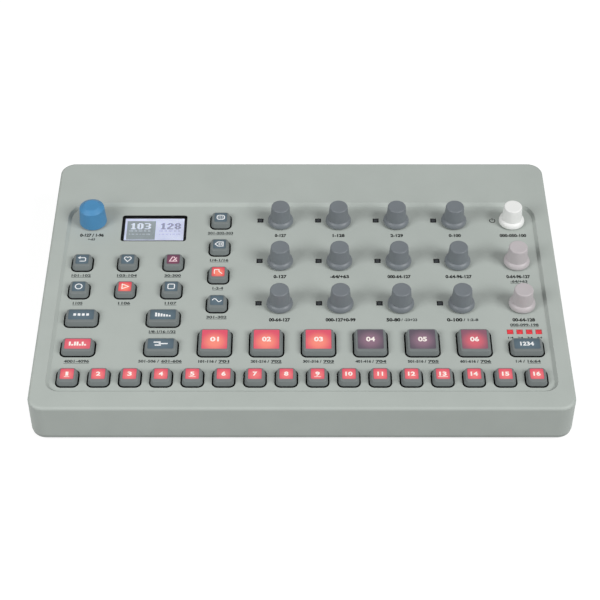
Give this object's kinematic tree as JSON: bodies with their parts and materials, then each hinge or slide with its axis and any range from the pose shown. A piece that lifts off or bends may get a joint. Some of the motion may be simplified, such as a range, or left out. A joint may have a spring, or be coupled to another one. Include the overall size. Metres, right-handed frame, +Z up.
{
  "type": "groovebox",
  "caption": "Wedge-shaped table-top groovebox with a sunken panel of lit keys, pads, knobs and a small display, and sockets at the rear.",
  "frame": {"origin": "under the middle of the case, on the surface that the feet stand on", "axes": "+X to the right along the width, +Y to the rear where the sockets are, +Z up"},
  "size_m": [0.27, 0.18, 0.0405],
  "materials": {
    "case_plastic": "fine moulded texture, pale grey-green",
    "base_plastic": "fine moulded texture, pale grey-green",
    "foot_rubber": "matte black",
    "display_glass": "clear lens with a black border over a pale lit cell",
    "board_laminate": "satin solder mask",
    "socket_plastic": "satin black",
    "contact_steel": "bright",
    "key_plastic": "satin dark grey with a light window in the top",
    "pad_plastic": "satin grey with a light window in the top",
    "grey_knob_plastic": "fine matte grey",
    "blue_knob_plastic": "fine matte blue",
    "white_knob_plastic": "fine matte white",
    "pale_knob_plastic": "fine matte pale pink-grey"
  },
  "bodies": {
    "case": {"top_case": "case_plastic", "bottom_case": "base_plastic", "screw_feet": "foot_rubber", "display_module": "display_glass", "circuit_board": "board_laminate", "rear_sockets": "socket_plastic"},
    "step_key_01": {"step_key_01": "key_plastic"},
    "step_key_02": {"step_key_02": "key_plastic"},
    "step_key_03": {"step_key_03": "key_plastic"},
    "step_key_04": {"step_key_04": "key_plastic"},
    "step_key_05": {"step_key_05": "key_plastic"},
    "step_key_06": {"step_key_06": "key_plastic"},
    "step_key_07": {"step_key_07": "key_plastic"},
    "step_key_08": {"step_key_08": "key_plastic"},
    "step_key_09": {"step_key_09": "key_plastic"},
    "step_key_10": {"step_key_10": "key_plastic"},
    "step_key_11": {"step_key_11": "key_plastic"},
    "step_key_12": {"step_key_12": "key_plastic"},
    "step_key_13": {"step_key_13": "key_plastic"},
    "step_key_14": {"step_key_14": "key_plastic"},
    "step_key_15": {"step_key_15": "key_plastic"},
    "step_key_16": {"step_key_16": "key_plastic"},
    "record_key": {"record_key": "key_plastic"},
    "play_key": {"play_key": "key_plastic"},
    "stop_key": {"stop_key": "key_plastic"},
    "back_key": {"back_key": "key_plastic"},
    "favourite_key": {"favourite_key": "key_plastic"},
    "tempo_key": {"tempo_key": "key_plastic"},
    "wave_key": {"wave_key": "key_plastic"},
    "click_key": {"click_key": "key_plastic"},
    "quantise_key": {"quantise_key": "key_plastic"},
    "preset_key": {"preset_key": "key_plastic"},
    "page_key": {"page_key": "key_plastic"},
    "pattern_key": {"pattern_key": "key_plastic"},
    "track_key": {"track_key": "key_plastic"},
    "function_key": {"function_key": "key_plastic"},
    "retrigger_key": {"retrigger_key": "key_plastic"},
    "pad_1": {"pad_1": "pad_plastic"},
    "pad_2": {"pad_2": "pad_plastic"},
    "pad_3": {"pad_3": "pad_plastic"},
    "pad_4": {"pad_4": "pad_plastic"},
    "pad_5": {"pad_5": "pad_plastic"},
    "pad_6": {"pad_6": "pad_plastic"},
    "lfo_speed_knob": {"lfo_speed_knob": "grey_knob_plastic"},
    "distortion_knob": {"distortion_knob": "grey_knob_plastic"},
    "swing_knob": {"swing_knob": "grey_knob_plastic"},
    "chance_knob": {"chance_knob": "grey_knob_plastic"},
    "delay_time_knob": {"delay_time_knob": "pale_knob_plastic"},
    "sweep_knob": {"sweep_knob": "grey_knob_plastic"},
    "contour_knob": {"contour_knob": "grey_knob_plastic"},
    "delay_send_knob": {"delay_send_knob": "grey_knob_plastic"},
    "reverb_send_knob": {"reverb_send_knob": "grey_knob_plastic"},
    "reverb_size_knob": {"reverb_size_knob": "pale_knob_plastic"},
    "pitch_knob": {"pitch_knob": "grey_knob_plastic"},
    "decay_knob": {"decay_knob": "grey_knob_plastic"},
    "colour_knob": {"colour_knob": "grey_knob_plastic"},
    "shape_knob": {"shape_knob": "grey_knob_plastic"},
    "main_volume_knob": {"main_volume_knob": "white_knob_plastic"},
    "data_plunger": {"data_plunger": "contact_steel"},
    "data_knob": {"data_knob": "blue_knob_plastic"}
  },
  "joints": [
    {"name": "step_key_01_press", "type": "slide", "parent": "case", "child": "step_key_01", "axis": [0, -0.0366, 0.9993], "range_m": [-0.001, 0], "stiffness_N_per_m": 900},
    {"name": "step_key_02_press", "type": "slide", "parent": "case", "child": "step_key_02", "axis": [0, -0.0366, 0.9993], "range_m": [-0.001, 0], "stiffness_N_per_m": 900},
    {"name": "step_key_03_press", "type": "slide", "parent": "case", "child": "step_key_03", "axis": [0, -0.0366, 0.9993], "range_m": [-0.001, 0], "stiffness_N_per_m": 900},
    {"name": "step_key_04_press", "type": "slide", "parent": "case", "child": "step_key_04", "axis": [0, -0.0366, 0.9993], "range_m": [-0.001, 0], "stiffness_N_per_m": 900},
    {"name": "step_key_05_press", "type": "slide", "parent": "case", "child": "step_key_05", "axis": [0, -0.0366, 0.9993], "range_m": [-0.001, 0], "stiffness_N_per_m": 900},
    {"name": "step_key_06_press", "type": "slide", "parent": "case", "child": "step_key_06", "axis": [0, -0.0366, 0.9993], "range_m": [-0.001, 0], "stiffness_N_per_m": 900},
    {"name": "step_key_07_press", "type": "slide", "parent": "case", "child": "step_key_07", "axis": [0, -0.0366, 0.9993], "range_m": [-0.001, 0], "stiffness_N_per_m": 900},
    {"name": "step_key_08_press", "type": "slide", "parent": "case", "child": "step_key_08", "axis": [0, -0.0366, 0.9993], "range_m": [-0.001, 0], "stiffness_N_per_m": 900},
    {"name": "step_key_09_press", "type": "slide", "parent": "case", "child": "step_key_09", "axis": [0, -0.0366, 0.9993], "range_m": [-0.001, 0], "stiffness_N_per_m": 900},
    {"name": "step_key_10_press", "type": "slide", "parent": "case", "child": "step_key_10", "axis": [0, -0.0366, 0.9993], "range_m": [-0.001, 0], "stiffness_N_per_m": 900},
    {"name": "step_key_11_press", "type": "slide", "parent": "case", "child": "step_key_11", "axis": [0, -0.0366, 0.9993], "range_m": [-0.001, 0], "stiffness_N_per_m": 900},
    {"name": "step_key_12_press", "type": "slide", "parent": "case", "child": "step_key_12", "axis": [0, -0.0366, 0.9993], "range_m": [-0.001, 0], "stiffness_N_per_m": 900},
    {"name": "step_key_13_press", "type": "slide", "parent": "case", "child": "step_key_13", "axis": [0, -0.0366, 0.9993], "range_m": [-0.001, 0], "stiffness_N_per_m": 900},
    {"name": "step_key_14_press", "type": "slide", "parent": "case", "child": "step_key_14", "axis": [0, -0.0366, 0.9993], "range_m": [-0.001, 0], "stiffness_N_per_m": 900},
    {"name": "step_key_15_press", "type": "slide", "parent": "case", "child": "step_key_15", "axis": [0, -0.0366, 0.9993], "range_m": [-0.001, 0], "stiffness_N_per_m": 900},
    {"name": "step_key_16_press", "type": "slide", "parent": "case", "child": "step_key_16", "axis": [0, -0.0366, 0.9993], "range_m": [-0.001, 0], "stiffness_N_per_m": 900},
    {"name": "record_key_press", "type": "slide", "parent": "case", "child": "record_key", "axis": [0, -0.0366, 0.9993], "range_m": [-0.001, 0], "stiffness_N_per_m": 900},
    {"name": "play_key_press", "type": "slide", "parent": "case", "child": "play_key", "axis": [0, -0.0366, 0.9993], "range_m": [-0.001, 0], "stiffness_N_per_m": 900},
    {"name": "stop_key_press", "type": "slide", "parent": "case", "child": "stop_key", "axis": [0, -0.0366, 0.9993], "range_m": [-0.001, 0], "stiffness_N_per_m": 900},
    {"name": "back_key_press", "type": "slide", "parent": "case", "child": "back_key", "axis": [0, -0.0366, 0.9993], "range_m": [-0.001, 0], "stiffness_N_per_m": 900},
    {"name": "favourite_key_press", "type": "slide", "parent": "case", "child": "favourite_key", "axis": [0, -0.0366, 0.9993], "range_m": [-0.001, 0], "stiffness_N_per_m": 900},
    {"name": "tempo_key_press", "type": "slide", "parent": "case", "child": "tempo_key", "axis": [0, -0.0366, 0.9993], "range_m": [-0.001, 0], "stiffness_N_per_m": 900},
    {"name": "wave_key_press", "type": "slide", "parent": "case", "child": "wave_key", "axis": [0, -0.0366, 0.9993], "range_m": [-0.001, 0], "stiffness_N_per_m": 900},
    {"name": "click_key_press", "type": "slide", "parent": "case", "child": "click_key", "axis": [0, -0.0366, 0.9993], "range_m": [-0.001, 0], "stiffness_N_per_m": 900},
    {"name": "quantise_key_press", "type": "slide", "parent": "case", "child": "quantise_key", "axis": [0, -0.0366, 0.9993], "range_m": [-0.001, 0], "stiffness_N_per_m": 900},
    {"name": "preset_key_press", "type": "slide", "parent": "case", "child": "preset_key", "axis": [0, -0.0366, 0.9993], "range_m": [-0.001, 0], "stiffness_N_per_m": 900},
    {"name": "page_key_press", "type": "slide", "parent": "case", "child": "page_key", "axis": [0, -0.0366, 0.9993], "range_m": [-0.001, 0], "stiffness_N_per_m": 900},
    {"name": "pattern_key_press", "type": "slide", "parent": "case", "child": "pattern_key", "axis": [0, -0.0366, 0.9993], "range_m": [-0.001, 0], "stiffness_N_per_m": 900},
    {"name": "track_key_press", "type": "slide", "parent": "case", "child": "track_key", "axis": [0, -0.0366, 0.9993], "range_m": [-0.001, 0], "stiffness_N_per_m": 900},
    {"name": "function_key_press", "type": "slide", "parent": "case", "child": "function_key", "axis": [0, -0.0366, 0.9993], "range_m": [-0.001, 0], "stiffness_N_per_m": 900},
    {"name": "retrigger_key_press", "type": "slide", "parent": "case", "child": "retrigger_key", "axis": [0, -0.0366, 0.9993], "range_m": [-0.001, 0], "stiffness_N_per_m": 900},
    {"name": "pad_1_press", "type": "slide", "parent": "case", "child": "pad_1", "axis": [0, -0.0366, 0.9993], "range_m": [-0.001, 0], "stiffness_N_per_m": 900},
    {"name": "pad_2_press", "type": "slide", "parent": "case", "child": "pad_2", "axis": [0, -0.0366, 0.9993], "range_m": [-0.001, 0], "stiffness_N_per_m": 900},
    {"name": "pad_3_press", "type": "slide", "parent": "case", "child": "pad_3", "axis": [0, -0.0366, 0.9993], "range_m": [-0.001, 0], "stiffness_N_per_m": 900},
    {"name": "pad_4_press", "type": "slide", "parent": "case", "child": "pad_4", "axis": [0, -0.0366, 0.9993], "range_m": [-0.001, 0], "stiffness_N_per_m": 900},
    {"name": "pad_5_press", "type": "slide", "parent": "case", "child": "pad_5", "axis": [0, -0.0366, 0.9993], "range_m": [-0.001, 0], "stiffness_N_per_m": 900},
    {"name": "pad_6_press", "type": "slide", "parent": "case", "child": "pad_6", "axis": [0, -0.0366, 0.9993], "range_m": [-0.001, 0], "stiffness_N_per_m": 900},
    {"name": "lfo_speed_knob_turn", "type": "hinge", "parent": "case", "child": "lfo_speed_knob", "pos_m": [-0.01145, -0.01875, 0.02551], "axis": [0, -0.0366, 0.9993], "continuous": true},
    {"name": "distortion_knob_turn", "type": "hinge", "parent": "case", "child": "distortion_knob", "pos_m": [0.01996, -0.01875, 0.02551], "axis": [0, -0.0366, 0.9993], "continuous": true},
    {"name": "swing_knob_turn", "type": "hinge", "parent": "case", "child": "swing_knob", "pos_m": [0.05136, -0.01875, 0.02551], "axis": [0, -0.0366, 0.9993], "continuous": true},
    {"name": "chance_knob_turn", "type": "hinge", "parent": "case", "child": "chance_knob", "pos_m": [0.08277, -0.01875, 0.02551], "axis": [0, -0.0366, 0.9993], "continuous": true},
    {"name": "delay_time_knob_turn", "type": "hinge", "parent": "case", "child": "delay_time_knob", "pos_m": [0.11418, -0.01875, 0.02551], "axis": [0, -0.0366, 0.9993], "continuous": true},
    {"name": "sweep_knob_turn", "type": "hinge", "parent": "case", "child": "sweep_knob", "pos_m": [-0.01145, 0.01236, 0.02665], "axis": [0, -0.0366, 0.9993], "continuous": true},
    {"name": "contour_knob_turn", "type": "hinge", "parent": "case", "child": "contour_knob", "pos_m": [0.01996, 0.01236, 0.02665], "axis": [0, -0.0366, 0.9993], "continuous": true},
    {"name": "delay_send_knob_turn", "type": "hinge", "parent": "case", "child": "delay_send_knob", "pos_m": [0.05136, 0.01236, 0.02665], "axis": [0, -0.0366, 0.9993], "continuous": true},
    {"name": "reverb_send_knob_turn", "type": "hinge", "parent": "case", "child": "reverb_send_knob", "pos_m": [0.08277, 0.01236, 0.02665], "axis": [0, -0.0366, 0.9993], "continuous": true},
    {"name": "reverb_size_knob_turn", "type": "hinge", "parent": "case", "child": "reverb_size_knob", "pos_m": [0.11418, 0.01236, 0.02665], "axis": [0, -0.0366, 0.9993], "continuous": true},
    {"name": "pitch_knob_turn", "type": "hinge", "parent": "case", "child": "pitch_knob", "pos_m": [-0.01145, 0.04347, 0.02779], "axis": [0, -0.0366, 0.9993], "continuous": true},
    {"name": "decay_knob_turn", "type": "hinge", "parent": "case", "child": "decay_knob", "pos_m": [0.01996, 0.04347, 0.02779], "axis": [0, -0.0366, 0.9993], "continuous": true},
    {"name": "colour_knob_turn", "type": "hinge", "parent": "case", "child": "colour_knob", "pos_m": [0.05136, 0.04347, 0.02779], "axis": [0, -0.0366, 0.9993], "continuous": true},
    {"name": "shape_knob_turn", "type": "hinge", "parent": "case", "child": "shape_knob", "pos_m": [0.08277, 0.04347, 0.02779], "axis": [0, -0.0366, 0.9993], "continuous": true},
    {"name": "main_volume_knob_turn", "type": "hinge", "parent": "case", "child": "main_volume_knob", "pos_m": [0.11418, 0.04347, 0.02779], "axis": [0, -0.0366, 0.9993], "range_deg": [-150, 150]},
    {"name": "data_knob_press", "type": "slide", "parent": "case", "child": "data_plunger", "axis": [0, -0.0366, 0.9993], "range_m": [-0.0005, 0], "stiffness_N_per_m": 3000},
    {"name": "data_knob_turn", "type": "hinge", "parent": "data_plunger", "child": "data_knob", "pos_m": [-0.11342, 0.04347, 0.02779], "axis": [0, -0.0366, 0.9993], "continuous": true}
  ]
}
